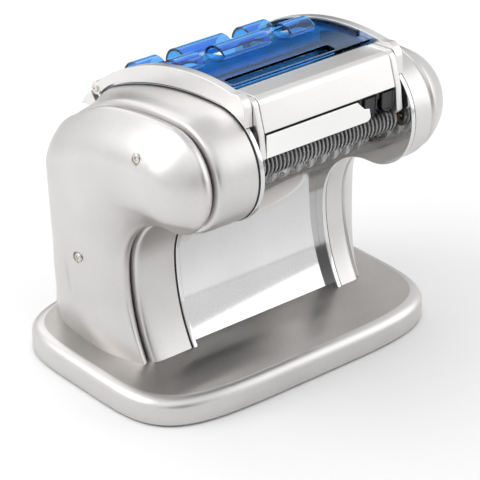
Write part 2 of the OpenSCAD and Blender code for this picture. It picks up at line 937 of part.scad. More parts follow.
// slot with rounded corners through which the dough goes in
module feed_slot() {
    translate([feed_x0, feed_y0, 250])
        linear_extrude(height = 20)
            union() {
                translate([3, 0])
                    square([feed_length - 6, feed_width]);
                translate([0, 3])
                    square([feed_length, feed_width - 6]);
                for (x = [3, feed_length - 3])
                    for (y = [3, feed_width - 3])
                        translate([x, y])
                            circle(r = 3);
            }
}

module clear_guard() {
    color([0.1, 0.4, 0.85, 0.5])
        union() {
            difference() {
                slab(guard_x0, guard_x1)
                    polygon(concat(
                        arc([guard_y, guard_z], panel_radius, 53.8, 93.5, 30),
                        arc([guard_y, guard_z], panel_radius - guard_wall, 93.5, 53.8, 30)));
                feed_slot();
                on_tubes(1)
                    tube_section(tube_radius - guard_wall, -1);
            }
            on_tubes(0)
                difference() {
                    tube_section(tube_radius, 0);
                    tube_section(tube_radius - guard_wall, -1);
                }
            for (x = [guard_x0, guard_x1 - 2])
                slab(x, x + 2)
                    polygon(concat(
                        arc([guard_y, guard_z], panel_radius + 3, 60, 90, 18),
                        arc([guard_y, guard_z], panel_radius - 3.4, 90, 60, 18)));
        }
}

module arm(x0, x1) {
    difference() {
        slab(x0, x1)
            union() {
                polygon(concat(
                    arc([guard_y, guard_z], guard_radius,
                        bearing(hinge_at, [guard_y, guard_z]) + 0.72, 97.2, 30),
                    arc([-81, 253.2], 12.4, 102, 185, 10),
                    arc([nose_y, nose_z], nose_radius + 2, 128, 90, 14),
                    arc([nose_y, roof_z], roof_radius + 2, 89, corner_angle, 10),
                    arc([corner_y, corner_z], corner_radius + 2, corner_angle - 4,
                        bearing(hinge_at, [corner_y, corner_z]) + 3.3, 8)));
                translate(hinge_at)
                    circle(r = 5.5);
            }
        rod(x0 - 1, x1 + 1, hinge_at, 2);
    }
}

module left_arm() {
    color([0.82, 0.81, 0.8])
        arm(left_x - 5, guard_x0);
}

module right_arm() {
    color([0.82, 0.81, 0.8])
        arm(guard_x1, right_x + 5);
}

module pivot_screws() {
    color([0.7, 0.7, 0.72])
        for (s = [0, 1])
            translate([s * (left_x + right_x), 0, 0])
                mirror([s, 0, 0])
                    difference() {
                        union() {
                            rod(left_x - 5, left_x + 9, hinge_at, 2);
                            rod(left_x - 6.4, left_x - 5, hinge_at, 3.6);
                        }
                        translate([left_x - 7, hinge_y - 3, hinge_z - 0.4])
                            cube([1.3, 6, 0.8]);
                    }
}

module hinge_brackets() {
    color([0.55, 0.55, 0.57])
        for (x = [left_x + 3.2, right_x - 9.2])
            difference() {
                slab(x, x + 6)
                    difference() {
                        translate(hinge_at) {
                            circle(r = 5.2);
                            polygon([[-5.1, 0], [5.1, 0], [6, -27], [-16, -7]]);
                        }
                        translate([corner_y, corner_z])
                            circle(r = corner_radius - 3);
                    }
                rod(x - 1, x + 7, hinge_at, 2 + shaft_play);
            }
}

module hinge_tips() {
    color([0.82, 0.81, 0.8])
        for (x = [left_x - 5, right_x - 1])
            slab(x, x + 6)
                difference() {
                    translate(hinge_at)
                        polygon([[7.4, -4.6], [14, -11.5], [20.5, -20.5], [12, -18.4], [-6, -21]]);
                    translate([corner_y, corner_z])
                        circle(r = corner_radius + rim);
                }
}

// ---- mains parts on the back of the left housing ----

mains_x = (left_edge + left_seam) / 2;

// puts children on the sloping back face at height z, with +Y pointing straight out of it
module on_back(z) {
    translate([mains_x, back_at(z), z])
        rotate([back_tilt, 0, 0])
            children();
}

module switch_frame() {
    color([0.07, 0.07, 0.07])
        on_back(120)
            difference() {
                union() {
                    translate([-10, 0, -14])
                        cube([20, 1.6, 28]);
                    translate([-7.9, -13, -11.9])
                        cube([15.8, 13.5, 23.8]);
                }
                translate([-6.5, -11.5, -10.5])
                    cube([13, 20, 21]);
                rod(-9, 9, [-5, 0], 1.55);
            }
}

// rocks on its own trunnions, drawn with its lower end pressed in
module switch_rocker() {
    color([0.5, 0.06, 0.05])
        on_back(120)
            translate([0, -5, 0])
                rotate([-8, 0, 0])
                    union() {
                        slab(-5.9, 5.9)
                            polygon([[-3, -4], [3, -9.2], [6.2, -9.2], [5, -4], [4.6, 0], [5, 4], [6.2, 9.2],
                                [3, 9.2], [-3, 4]]);
                        rod(-7.6, 7.6, [0, 0], 1.5);
                    }
}

module power_inlet() {
    color([0.07, 0.07, 0.07])
        on_back(58)
            difference() {
                union() {
                    translate([-11, 0, -8])
                        cube([22, 1.6, 16]);
                    translate([-8.9, -16, -5.9])
                        cube([17.8, 16.5, 11.8]);
                }
                plug_slot(3.4, 14);
            }
}

module plug_slot(r, deep) {
    for (x = [-3.6, 3.6])
        translate([x, 3, 0])
            rotate([90, 0, 0])
                cylinder(h = deep + 3, r = r);
    translate([-3.6, -deep, -r * 0.8])
        cube([7.2, deep + 3, r * 1.6]);
}

module inlet_pins() {
    color([0.78, 0.7, 0.4])
        on_back(58)
            for (x = [-3.6, 3.6])
                translate([x, -3, 0])
                    rotate([90, 0, 0])
                        cylinder(h = 11, r = 1.2);
}

base_shell();
base_cover();
feet();
foot_screws();
left_flange();
right_flange();
left_band();
right_band();
left_cover();
right_cover();
cover_screws();
chute();
rear_shell();
inner_wall();
tie_rods();
front_bar();
bar_cheeks();
tray();
rib_comb();
feed_guides();
bushes();
drive_roller();
drive_gears();
gauge_roller();
gauge_gear();
fine_front();
fine_rear();
broad_front();
broad_rear();
fine_front_gear();
fine_rear_gear();
broad_front_gear();
broad_rear_gear();
idler_gear();
second_gear();
third_gear();
gear_pins();
gearbox_plate();
posts();
motor_body();
motor_ring();
motor_shaft();
carriage();
slide_blocks();
gap_arm();
gap_cam();
knob_shaft();
knob();
setting_ring();
clear_guard();
left_arm();
right_arm();
pivot_screws();
hinge_brackets();
hinge_tips();
switch_frame();
switch_rocker();
power_inlet();
inlet_pins();
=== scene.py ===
import math

import bmesh
import bpy
from mathutils import Matrix, Vector


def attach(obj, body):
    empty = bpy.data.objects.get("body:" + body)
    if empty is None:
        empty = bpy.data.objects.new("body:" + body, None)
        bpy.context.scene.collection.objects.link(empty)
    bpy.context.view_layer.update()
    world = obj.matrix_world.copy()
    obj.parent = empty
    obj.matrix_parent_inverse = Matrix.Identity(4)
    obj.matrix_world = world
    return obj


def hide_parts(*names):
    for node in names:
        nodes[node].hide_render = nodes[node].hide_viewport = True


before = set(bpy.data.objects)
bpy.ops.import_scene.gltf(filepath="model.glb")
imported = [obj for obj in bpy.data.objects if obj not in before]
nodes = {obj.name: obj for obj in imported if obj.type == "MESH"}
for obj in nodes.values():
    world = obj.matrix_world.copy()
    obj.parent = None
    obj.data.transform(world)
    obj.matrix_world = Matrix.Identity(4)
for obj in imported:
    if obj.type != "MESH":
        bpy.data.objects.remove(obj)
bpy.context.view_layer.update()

# Electric pasta maker: satin body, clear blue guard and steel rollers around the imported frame.
mm = 0.001


def hexColour(code):
    # sRGB hex to the linear numbers that shaders use
    parts = [int(code[i:i + 2], 16) / 255 for i in (1, 3, 5)]
    return tuple(c / 12.92 if c <= 0.04045 else ((c + 0.055) / 1.055) ** 2.4 for c in parts) + (1.0,)


def addNode(tree, kind, settings=None, values=None, links=None):
    node = tree.nodes.new(kind)
    for name, value in (settings or {}).items():
        setattr(node, name, value)
    for name, value in (values or {}).items():
        node.inputs[name].default_value = value
    for name, source in (links or {}).items():
        tree.links.new(source, node.inputs[name])
    return node


cameraView = {
    "place": (-1.16057, -1.35928, 1.02603),  # metres
    "azimuth": -40.652,
    "elevation": 27.740,
    "roll": 0.427,
    "lens": 185.17,
}


def makeCamera():
    lens = bpy.data.cameras.new("camera")
    lens.lens = cameraView["lens"]
    lens.clip_end = 20
    camera = bpy.data.objects.new("camera", lens)
    bpy.context.scene.collection.objects.link(camera)
    turn = (Matrix.Rotation(math.radians(cameraView["azimuth"]), 4, "Z")
            @ Matrix.Rotation(math.radians(90 - cameraView["elevation"]), 4, "X")
            @ Matrix.Rotation(math.radians(cameraView["roll"]), 4, "Z"))
    camera.matrix_world = Matrix.Translation(cameraView["place"]) @ turn
    bpy.context.scene.camera = camera


makeCamera()
bpy.context.scene.view_settings.view_transform = "Standard"
print("camera ready")

finishes = {}
noiseSpan = (0.3, 0.7)  # noise values where the darkest and the lightest tone are reached


def startFinish(name):
    material = bpy.data.materials.new(name)
    material.use_nodes = True
    tree = material.node_tree
    tree.nodes.clear()
    finishes[name] = material
    return tree


def mappedCoords(tree, stretch):
    coords = addNode(tree, "ShaderNodeTexCoord")
    mapping = addNode(tree, "ShaderNodeMapping", values={"Scale": stretch},
                      links={"Vector": coords.outputs["Object"]})
    return mapping.outputs["Vector"]


# a surface whose colour, gloss and relief all follow one fine pattern and one slow, cloudy one;
# grain and cloud are feature sizes in millimetres, stretch draws the grain out along an axis
def grainedFinish(name, light, dark, metallic, roughness, spread, grain, relief, cloud=45, stretch=(1, 1, 1),
                  ior=None, coat=0, specks=0.5):
    tree = startFinish(name)
    place = mappedCoords(tree, stretch)
    fine = addNode(tree, "ShaderNodeTexNoise", values={"Scale": 1000 / grain, "Detail": 2, "Roughness": 0.6},
                   links={"Vector": place})
    slow = addNode(tree, "ShaderNodeTexNoise", values={"Scale": 1000 / cloud, "Detail": 1},
                   links={"Vector": mappedCoords(tree, (1, 1, 1))})
    blend = addNode(tree, "ShaderNodeMix", {"data_type": "FLOAT"}, {"Factor": specks},
                    {"A": slow.outputs["Fac"], "B": fine.outputs["Fac"]})
    colour = addNode(tree, "ShaderNodeValToRGB", links={"Fac": blend.outputs["Result"]})
    colour.color_ramp.elements[0].position = noiseSpan[0]
    colour.color_ramp.elements[0].color = hexColour(dark)
    colour.color_ramp.elements[1].position = noiseSpan[1]
    colour.color_ramp.elements[1].color = hexColour(light)
    gloss = addNode(tree, "ShaderNodeMapRange",
                    values={"From Min": noiseSpan[0], "From Max": noiseSpan[1],
                            "To Min": roughness - spread, "To Max": roughness + spread},
                    links={"Value": fine.outputs["Fac"]})
    bump = addNode(tree, "ShaderNodeBump", values={"Strength": 1.0, "Distance": relief * mm},
                   links={"Height": fine.outputs["Fac"]})
    shader = addNode(tree, "ShaderNodeBsdfPrincipled", values={"Metallic": metallic, "Coat Weight": coat},
                     links={"Base Color": colour.outputs["Color"], "Roughness": gloss.outputs["Result"],
                            "Normal": bump.outputs["Normal"]})
    if ior:
        shader.inputs["IOR"].default_value = ior
    addNode(tree, "ShaderNodeOutputMaterial", links={"Surface": shader.outputs["BSDF"]})


# satin silver coat of the body: soft wide highlights, a barely seen grain
grainedFinish("satinChrome", "#d8d6d5", "#cbc9c8", 1.0, 0.38, 0.04, 1.1, 0.010)
# the same coat, finer, on the bar, its cheeks, the arms and the hinge tips: almost without grain; its lighter
# colour is painted light, a brighter copy of the coat
grainedFinish("satinChromeFineLit", "#e6e5e4", "#dddcdb", 1.0, 0.36, 0.03, 1.1, 0.005)
# the same coat on the flat top of the base, with a coarser grain that shows; its greyer colour is painted shade,
# a darker copy of the coat for the top
grainedFinish("satinChromeShadedTop", "#bdbab7", "#a9a6a3", 1.0, 0.36, 0.05, 1.3, 0.016)
# stainless sheet, brushed along the rollers: streaks that draw highlights out sideways
grainedFinish("brushedSteel", "#cfcdca", "#bdbbb8", 1.0, 0.30, 0.06, 0.9, 0.006, stretch=(0.04, 1, 1))
# stainless sheet, buffed to a mirror: dark and white reflections with hardly any blur
grainedFinish("polishedSteel", "#dcdcdc", "#d2d2d2", 1.0, 0.09, 0.02, 1.6, 0.001)
# bright annealed sheet of the tray: nearly white, with soft reflections
grainedFinish("brightSteel", "#f4f4f3", "#ececeb", 1.0, 0.24, 0.03, 1.2, 0.003)
# ground and chromed roller: fine rings round the axis; its dark colour is painted shade, the steel darkened as
# if in the shadow inside the head, and the same darkened steel is used on the gear pins and the shafts
grainedFinish("shadedRollerSteel", "#86868a", "#747478", 1.0, 0.17, 0.05, 0.8, 0.004, stretch=(1, 0.05, 0.05))
# turned cutter steel: duller, ringed
grainedFinish("cutterSteel", "#c2c2c2", "#a8a8a8", 1.0, 0.30, 0.06, 0.8, 0.005, stretch=(1, 0.05, 0.05))
# nickel plated screws: bright, slightly yellow
grainedFinish("nickelPlate", "#d9d6d0", "#c3c0b9", 1.0, 0.18, 0.05, 0.9, 0.004)
# hobbed gear steel under a film of grease
grainedFinish("gearSteel", "#8d8d90", "#6f6f73", 1.0, 0.38, 0.08, 1.2, 0.010)
# natural nylon, moulded: milky and waxy
grainedFinish("naturalNylon", "#ece6d6", "#ded7c4", 0.0, 0.46, 0.06, 1.4, 0.010, ior=1.53)
# sintered bronze: open pores, dull gold
grainedFinish("sinteredBronze", "#b98f52", "#8d6a38", 1.0, 0.42, 0.08, 0.9, 0.020)
# motor can in baked black enamel
grainedFinish("bakedEnamel", "#2c2c2e", "#232325", 0.0, 0.30, 0.05, 1.5, 0.010, ior=1.5, coat=0.3)
# black ABS with a polished mould: deep black, sharp small highlights
grainedFinish("glossBlack", "#151516", "#0f0f10", 0.0, 0.16, 0.04, 1.6, 0.004, ior=1.54)
# black ABS from a spark-eroded mould: even fine texture, wide dull sheen
grainedFinish("texturedBlack", "#1d1d1e", "#161617", 0.0, 0.52, 0.06, 0.9, 0.030, ior=1.54)
# moulded black rubber: matt, dusty grey on its high spots
grainedFinish("mouldedRubber", "#242424", "#181818", 0.0, 0.72, 0.08, 1.0, 0.040, ior=1.52)
# glossy red rocker cap
grainedFinish("rockerRed", "#a3140f", "#8c0f0b", 0.0, 0.20, 0.04, 1.6, 0.004, ior=1.54)
# filled paint of the knob's line: chalky white
grainedFinish("markWhite", "#f2f1ee", "#e4e3df", 0.0, 0.5, 0.05, 0.8, 0.006, ior=1.5)
# brass contacts under thin nickel
grainedFinish("contactBrass", "#d8c58c", "#bfa968", 1.0, 0.22, 0.05, 0.9, 0.004)


# clear blue plastic: glassy, tinted once more by each wall that the eye looks through
def makeClearBlue():
    wave, relief = 22, 0.05  # length and height of the slow waves in its skin, in millimetres
    tree = startFinish("clearBlue")
    slow = addNode(tree, "ShaderNodeTexNoise", values={"Scale": 1000 / wave, "Detail": 1},
                   links={"Vector": mappedCoords(tree, (1, 1, 1))})
    bump = addNode(tree, "ShaderNodeBump", values={"Strength": 1.0, "Distance": relief * mm},
                   links={"Height": slow.outputs["Fac"]})
    tint = addNode(tree, "ShaderNodeValToRGB", links={"Fac": slow.outputs["Fac"]})
    tint.color_ramp.elements[0].color = hexColour("#48a4f4")
    tint.color_ramp.elements[1].color = hexColour("#5cb2fa")
    shader = addNode(tree, "ShaderNodeBsdfPrincipled",
                     values={"Transmission Weight": 1.0, "IOR": 1.57, "Roughness": 0.03},
                     links={"Base Color": tint.outputs["Color"], "Normal": bump.outputs["Normal"]})
    addNode(tree, "ShaderNodeOutputMaterial", links={"Surface": shader.outputs["BSDF"]})


makeClearBlue()
print("finishes:", len(finishes))


# mesh helpers
def makePiece(name, points, faces):
    # points in millimetres
    mesh = bpy.data.meshes.new(name)
    mesh.from_pydata([[c * mm for c in p] for p in points], [], faces)
    mesh.validate()
    mesh.update()
    shape = bmesh.new()
    shape.from_mesh(mesh)
    bmesh.ops.remove_doubles(shape, verts=shape.verts, dist=0.00001)
    bmesh.ops.recalc_face_normals(shape, faces=shape.faces)
    shape.to_mesh(mesh)
    shape.free()
    for face in mesh.polygons:
        face.use_smooth = True
    piece = bpy.data.objects.new(name, mesh)
    bpy.context.scene.collection.objects.link(piece)
    return piece


def settle(piece, body, finish, slotName, *replaced):
    if finish:
        piece.data.materials.clear()
        piece.data.materials.append(finishes[finish])
    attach(piece, body)
    if replaced:
        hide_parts(*replaced)


def addModifier(piece, kind, name, **settings):
    modifier = piece.modifiers.new(name, kind)
    for key, value in settings.items():
        setattr(modifier, key, value)
    return modifier


def bakeModifiers(piece):
    # turns the modified shape into a plain mesh and drops the modifiers
    graph = bpy.context.evaluated_depsgraph_get()
    mesh = bpy.data.meshes.new_from_object(piece.evaluated_get(graph), depsgraph=graph)
    piece.modifiers.clear()
    piece.data = mesh
    return piece


def sharpenEdges(piece, angle=35):
    # smooth shading that stops at every edge sharper than the angle
    shape = bmesh.new()
    shape.from_mesh(piece.data)
    for face in shape.faces:
        face.smooth = True
    for edge in shape.edges:
        edge.smooth = len(edge.link_faces) == 2 and edge.calc_face_angle(0) < math.radians(angle)
    shape.to_mesh(piece.data)
    shape.free()
    return piece


def softenEdges(piece, width, segments=2, angle=32):
    # rounds the hard edges and keeps flats flat
    if width:
        addModifier(piece, "BEVEL", "edges", width=width * mm, segments=segments, limit_method="ANGLE",
                    angle_limit=math.radians(angle), use_clamp_overlap=True, harden_normals=False)
    addModifier(piece, "WEIGHTED_NORMAL", "flats", keep_sharp=False, weight=80)


def latheFaces(rows, steps):
    # quads between the rings of a turned shape, then the lid on its first and on its last ring
    faces = []
    for i in range(rows - 1):
        for j in range(steps):
            k = (j + 1) % steps
            faces.append((i * steps + j, i * steps + k, (i + 1) * steps + k, (i + 1) * steps + j))
    faces.append(tuple(range(steps - 1, -1, -1)))
    faces.append(tuple((rows - 1) * steps + j for j in range(steps)))
    return faces


def boxPoints(low, high):
    # corners between the lowest and the highest one, in the order that latheFaces(2, 4) joins
    ring = [(low[0], low[1]), (high[0], low[1]), (high[0], high[1]), (low[0], high[1])]
    return [(x, y, z) for z in (low[2], high[2]) for x, y in ring]


def turnShape(name, profile, steps=48, centre=(0, 0, 0), axis="Z"):
    # profile as (radius, height along the axis)
    points = []
    for radius, height in profile:
        for j in range(steps):
            a = 2 * math.pi * j / steps
            across, up = radius * math.cos(a), radius * math.sin(a)
            spot = (across, up, height) if axis == "Z" else (height, across, up)
            points.append(tuple(c + o for c, o in zip(centre, spot)))
    return sharpenEdges(makePiece(name, points, latheFaces(len(profile), steps)), 40)


def cutOut(piece, cutter):
    addModifier(piece, "BOOLEAN", "cut", operation="DIFFERENCE", object=cutter, solver="EXACT")
    bakeModifiers(piece)
    bpy.data.objects.remove(cutter)
    return piece


# node trees that grow pieces; every tree takes its sizes and its material as named inputs
def startTree(name, inputs):
    tree = bpy.data.node_groups.new(name, "GeometryNodeTree")
    tree.is_modifier = True
    for label, kind in [("Geometry", "Geometry")] + inputs + [("Material", "Material")]:
        tree.interface.new_socket(name=label, in_out="INPUT", socket_type="NodeSocket" + kind)
    tree.interface.new_socket(name="Geometry", in_out="OUTPUT", socket_type="NodeSocketGeometry")
    return tree, addNode(tree, "NodeGroupInput")


def endTree(tree, start, geometry):
    real = addNode(tree, "GeometryNodeRealizeInstances", links={"Geometry": geometry})
    dressed = addNode(tree, "GeometryNodeSetMaterial", links={"Geometry": real.outputs["Geometry"],
                      "Material": start.outputs["Material"]})
    addNode(tree, "NodeGroupOutput", links={"Geometry": dressed.outputs["Geometry"]})
    return tree


def growPiece(name, tree, values, mesh=None):
    piece = bpy.data.objects.new(name, mesh or bpy.data.meshes.new(name))
    bpy.context.scene.collection.objects.link(piece)
    modifier = piece.modifiers.new("grow", "NODES")
    modifier.node_group = tree
    for socket in tree.interface.items_tree:
        if socket.item_type == "SOCKET" and socket.in_out == "INPUT" and socket.name in values:
            modifier[socket.identifier] = values[socket.name]
    return bakeModifiers(piece)


def partOnPointsTree():
    # one part on each point, turned to face the point's own way and spun at random about that way
    tree, start = startTree("partOnPoints", [("Part", "Object"), ("Spin", "Float"), ("Seed", "Int")])
    part = addNode(tree, "GeometryNodeObjectInfo", links={"Object": start.outputs["Part"]})
    facing = addNode(tree, "GeometryNodeInputNamedAttribute", {"data_type": "FLOAT_VECTOR"},
                     {"Name": "facing"})
    size = addNode(tree, "GeometryNodeInputNamedAttribute", {"data_type": "FLOAT"}, {"Name": "size"})
    aim = addNode(tree, "FunctionNodeAlignRotationToVector", {"axis": "Z"},
                  links={"Vector": facing.outputs[0]})
    spin = addNode(tree, "FunctionNodeRandomValue", {"data_type": "FLOAT"}, {2: 0.0},
                   {3: start.outputs["Spin"], 8: start.outputs["Seed"]})
    about = addNode(tree, "ShaderNodeCombineXYZ", links={"Z": spin.outputs[1]})
    turn = addNode(tree, "FunctionNodeEulerToRotation", links={0: about.outputs["Vector"]})
    both = addNode(tree, "FunctionNodeRotateRotation", {"rotation_space": "LOCAL"},
                   links={"Rotation": aim.outputs["Rotation"], "Rotate By": turn.outputs["Rotation"]})
    placed = addNode(tree, "GeometryNodeInstanceOnPoints", links={"Points": start.outputs["Geometry"],
                     "Instance": part.outputs["Geometry"], "Rotation": both.outputs["Rotation"],
                     "Scale": size.outputs[0]})
    return endTree(tree, start, placed.outputs["Instances"])


def partsInRowTree():
    # parts in a straight row, one spacing apart
    tree, start = startTree("partsInRow", [("Part", "Object"), ("Count", "Int"), ("First", "Vector"),
                                           ("Spacing", "Vector")])
    part = addNode(tree, "GeometryNodeObjectInfo", links={"Object": start.outputs["Part"]})
    row = addNode(tree, "GeometryNodeMeshLine", {"mode": "OFFSET"}, links={"Count": start.outputs["Count"],
                  "Start Location": start.outputs["First"], "Offset": start.outputs["Spacing"]})
    placed = addNode(tree, "GeometryNodeInstanceOnPoints", links={"Points": row.outputs["Mesh"],
                     "Instance": part.outputs["Geometry"]})
    return endTree(tree, start, placed.outputs["Instances"])


def partsInCircleTree():
    # parts in a circle about the X axis, each keeping its own way up
    tree, start = startTree("partsInCircle", [("Part", "Object"), ("Count", "Int"), ("Radius", "Float"),
                                              ("Centre", "Vector")])
    part = addNode(tree, "GeometryNodeObjectInfo", links={"Object": start.outputs["Part"]})
    circle = addNode(tree, "GeometryNodeMeshCircle", links={"Vertices": start.outputs["Count"],
                     "Radius": start.outputs["Radius"]})
    upright = addNode(tree, "GeometryNodeTransform", values={"Rotation": (0, math.pi / 2, 0)},
                      links={"Geometry": circle.outputs["Mesh"], "Translation": start.outputs["Centre"]})
    placed = addNode(tree, "GeometryNodeInstanceOnPoints", links={"Points": upright.outputs["Geometry"],
                     "Instance": part.outputs["Geometry"]})
    return endTree(tree, start, placed.outputs["Instances"])


def beadOnPathTree():
    # round bead along the edges of the given path
    tree, start = startTree("beadOnPath", [("Radius", "Float")])
    path = addNode(tree, "GeometryNodeMeshToCurve", links={"Mesh": start.outputs["Geometry"]})
    section = addNode(tree, "GeometryNodeCurvePrimitiveCircle", values={"Resolution": 12},
                      links={"Radius": start.outputs["Radius"]})
    swept = addNode(tree, "GeometryNodeCurveToMesh", values={"Fill Caps": True},
                    links={"Curve": path.outputs["Curve"], "Profile Curve": section.outputs["Curve"]})
    smooth = addNode(tree, "GeometryNodeSetShadeSmooth", links={"Geometry": swept.outputs["Mesh"]})
    return endTree(tree, start, smooth.outputs["Geometry"])


trees = {"onPoints": partOnPointsTree(), "inRow": partsInRowTree(), "inCircle": partsInCircleTree(),
         "onPath": beadOnPathTree()}


def pointsMesh(name, spots):
    # spots as (place, facing, size), places in millimetres
    mesh = bpy.data.meshes.new(name)
    mesh.from_pydata([[c * mm for c in place] for place, facing, size in spots], [], [])
    mesh.attributes.new("facing", "FLOAT_VECTOR", "POINT")
    mesh.attributes.new("size", "FLOAT", "POINT")
    for i, (place, facing, size) in enumerate(spots):
        mesh.attributes["facing"].data[i].vector = facing
        mesh.attributes["size"].data[i].value = size
    return mesh


def growOnPoints(name, part, spin, seed, finish, spots):
    values = {"Part": part, "Spin": spin, "Seed": seed, "Material": finishes[finish]}
    return growPiece(name, trees["onPoints"], values, pointsMesh(name, spots))


print("node trees:", len(trees))

# frame parts that keep their own shape
keptParts = {
    # node: (finish, edge rounding in millimetres)
    "base_cover": ("texturedBlack", 0.4),
    "feet": ("mouldedRubber", 0.5),
    "foot_screws": ("nickelPlate", 0.15),
    "left_flange": ("polishedSteel", 0.5),
    "right_flange": ("polishedSteel", 0.5),
    "chute": ("polishedSteel", 0.2),
    "rear_shell": ("brushedSteel", 0.2),
    "inner_wall": ("texturedBlack", 0.2),
    "tie_rods": ("brushedSteel", 0),
    # the bar, its cheeks, the arms and the hinge tips get the lighter copy of the coat: painted light
    "front_bar": ("satinChromeFineLit", 0.5),
    "bar_cheeks": ("satinChromeFineLit", 0.9),
    "tray": ("brightSteel", 0.35),
    "feed_guides": ("glossBlack", 0.4),
    "bushes": ("sinteredBronze", 0.2),
    # the rollers get the darkened steel: painted shade
    "drive_roller": ("shadedRollerSteel", 0.4),
    "drive_gears": ("gearSteel", 0),
    "gauge_roller": ("shadedRollerSteel", 0.4),
    "gauge_gear": ("gearSteel", 0),
    "fine_front": ("cutterSteel", 0),
    "fine_rear": ("cutterSteel", 0),
    "broad_front": ("cutterSteel", 0),
    "broad_rear": ("cutterSteel", 0),
    "fine_front_gear": ("gearSteel", 0),
    "fine_rear_gear": ("gearSteel", 0),
    "broad_front_gear": ("gearSteel", 0),
    "broad_rear_gear": ("gearSteel", 0),
    "idler_gear": ("naturalNylon", 0),
    "second_gear": ("naturalNylon", 0),
    "third_gear": ("naturalNylon", 0),
    "gear_pins": ("shadedRollerSteel", 0.2),
    "gearbox_plate": ("brushedSteel", 0.3),
    "posts": ("brushedSteel", 0.2),
    "motor_body": ("bakedEnamel", 0.8),
    "motor_ring": ("brushedSteel", 0.5),
    "motor_shaft": ("shadedRollerSteel", 0),
    "carriage": ("gearSteel", 0.4),
    "slide_blocks": ("sinteredBronze", 0.3),
    "gap_arm": ("gearSteel", 0.4),
    "gap_cam": ("naturalNylon", 0.3),
    "knob_shaft": ("shadedRollerSteel", 0.3),
    "clear_guard": ("clearBlue", 0.35),
    "left_arm": ("satinChromeFineLit", 1.0),
    "right_arm": ("satinChromeFineLit", 1.0),
    "pivot_screws": ("nickelPlate", 0.25),
    "hinge_brackets": ("brushedSteel", 0.3),
    "hinge_tips": ("satinChromeFineLit", 0.8),
    "switch_frame": ("glossBlack", 0.4),
    "switch_rocker": ("rockerRed", 0.5),
    "power_inlet": ("glossBlack", 0.4),
    "inlet_pins": ("contactBrass", 0.3),
}


def dressKeptParts():
    joinGap, flatAngle = 0.002, 0.4  # millimetres and degrees
    for name, (finish, rounding) in keptParts.items():
        piece = nodes[name]
        for i in range(max(1, len(piece.data.materials))):
            if i < len(piece.data.materials):
                piece.data.materials[i] = finishes[finish]
            else:
                piece.data.materials.append(finishes[finish])
        for face in piece.data.polygons:
            face.use_smooth = True
        addModifier(piece, "WELD", "join", merge_threshold=joinGap * mm)
        addModifier(piece, "DECIMATE", "flatFaces", decimate_type="DISSOLVE",
                    angle_limit=math.radians(flatAngle))
        softenEdges(piece, rounding)
    print("kept parts dressed:", len(keptParts))


dressKeptParts()

sideArcs = {
    # the C outline of the sides: centres and radii of its arcs in millimetres, angle in degrees
    "floor": 24.0,
    "noseY": -64.0, "noseZ": 202.5, "noseRadius": 46.8,
    "throatRadius": 55.0, "throatZ": 100.7,
    "heelRadius": 144.0, "heelY": -153.0,
    "roofRadius": 308.8, "roofZ": -59.5,
    "cornerY": 40.85, "cornerZ": 171.63, "cornerRadius": 55.0, "cornerAngle": 65.6,
    "backY": 101.5,
}


def arcPoints(centre, radius, start, end, steps):
    spots = []
    for i in range(steps + 1):
        a = math.radians(start + (end - start) * i / steps)
        spots.append((centre[0] + radius * math.cos(a), centre[1] + radius * math.sin(a)))
    return spots


# the two sides of the C outline from the tip of the nose down to the base, inset from the outer face;
# both have the same number of points, so that they can be joined across
def outlineSides(inset):
    b = sideArcs
    nose = (b["noseY"], b["noseZ"])
    corner = (b["cornerY"], b["cornerZ"])
    upper = arcPoints(nose, b["noseRadius"] - inset, 180, 90, 24)
    upper += arcPoints((b["noseY"], b["roofZ"]), b["roofRadius"] - inset, 90, b["cornerAngle"], 20)[1:]
    upper += arcPoints(corner, b["cornerRadius"] - inset, b["cornerAngle"], -2, 24)[1:]
    top = upper[-1]
    foot = (b["backY"] - inset, b["floor"])
    upper += [(top[0] + (foot[0] - top[0]) * i / 16, top[1] + (foot[1] - top[1]) * i / 16)
              for i in range(1, 17)]
    heelRadius = b["heelRadius"] + inset
    lower = arcPoints(nose, b["noseRadius"] - inset, 180, 270, 24)
    lower += arcPoints((b["noseY"], b["throatZ"]), b["throatRadius"] + inset, 90, 0, 36)[1:]
    lower += arcPoints((b["heelY"], b["throatZ"]), heelRadius, 0,
                       -math.degrees(math.asin((b["throatZ"] - b["floor"]) / heelRadius)), 24)[1:]
    return upper, lower


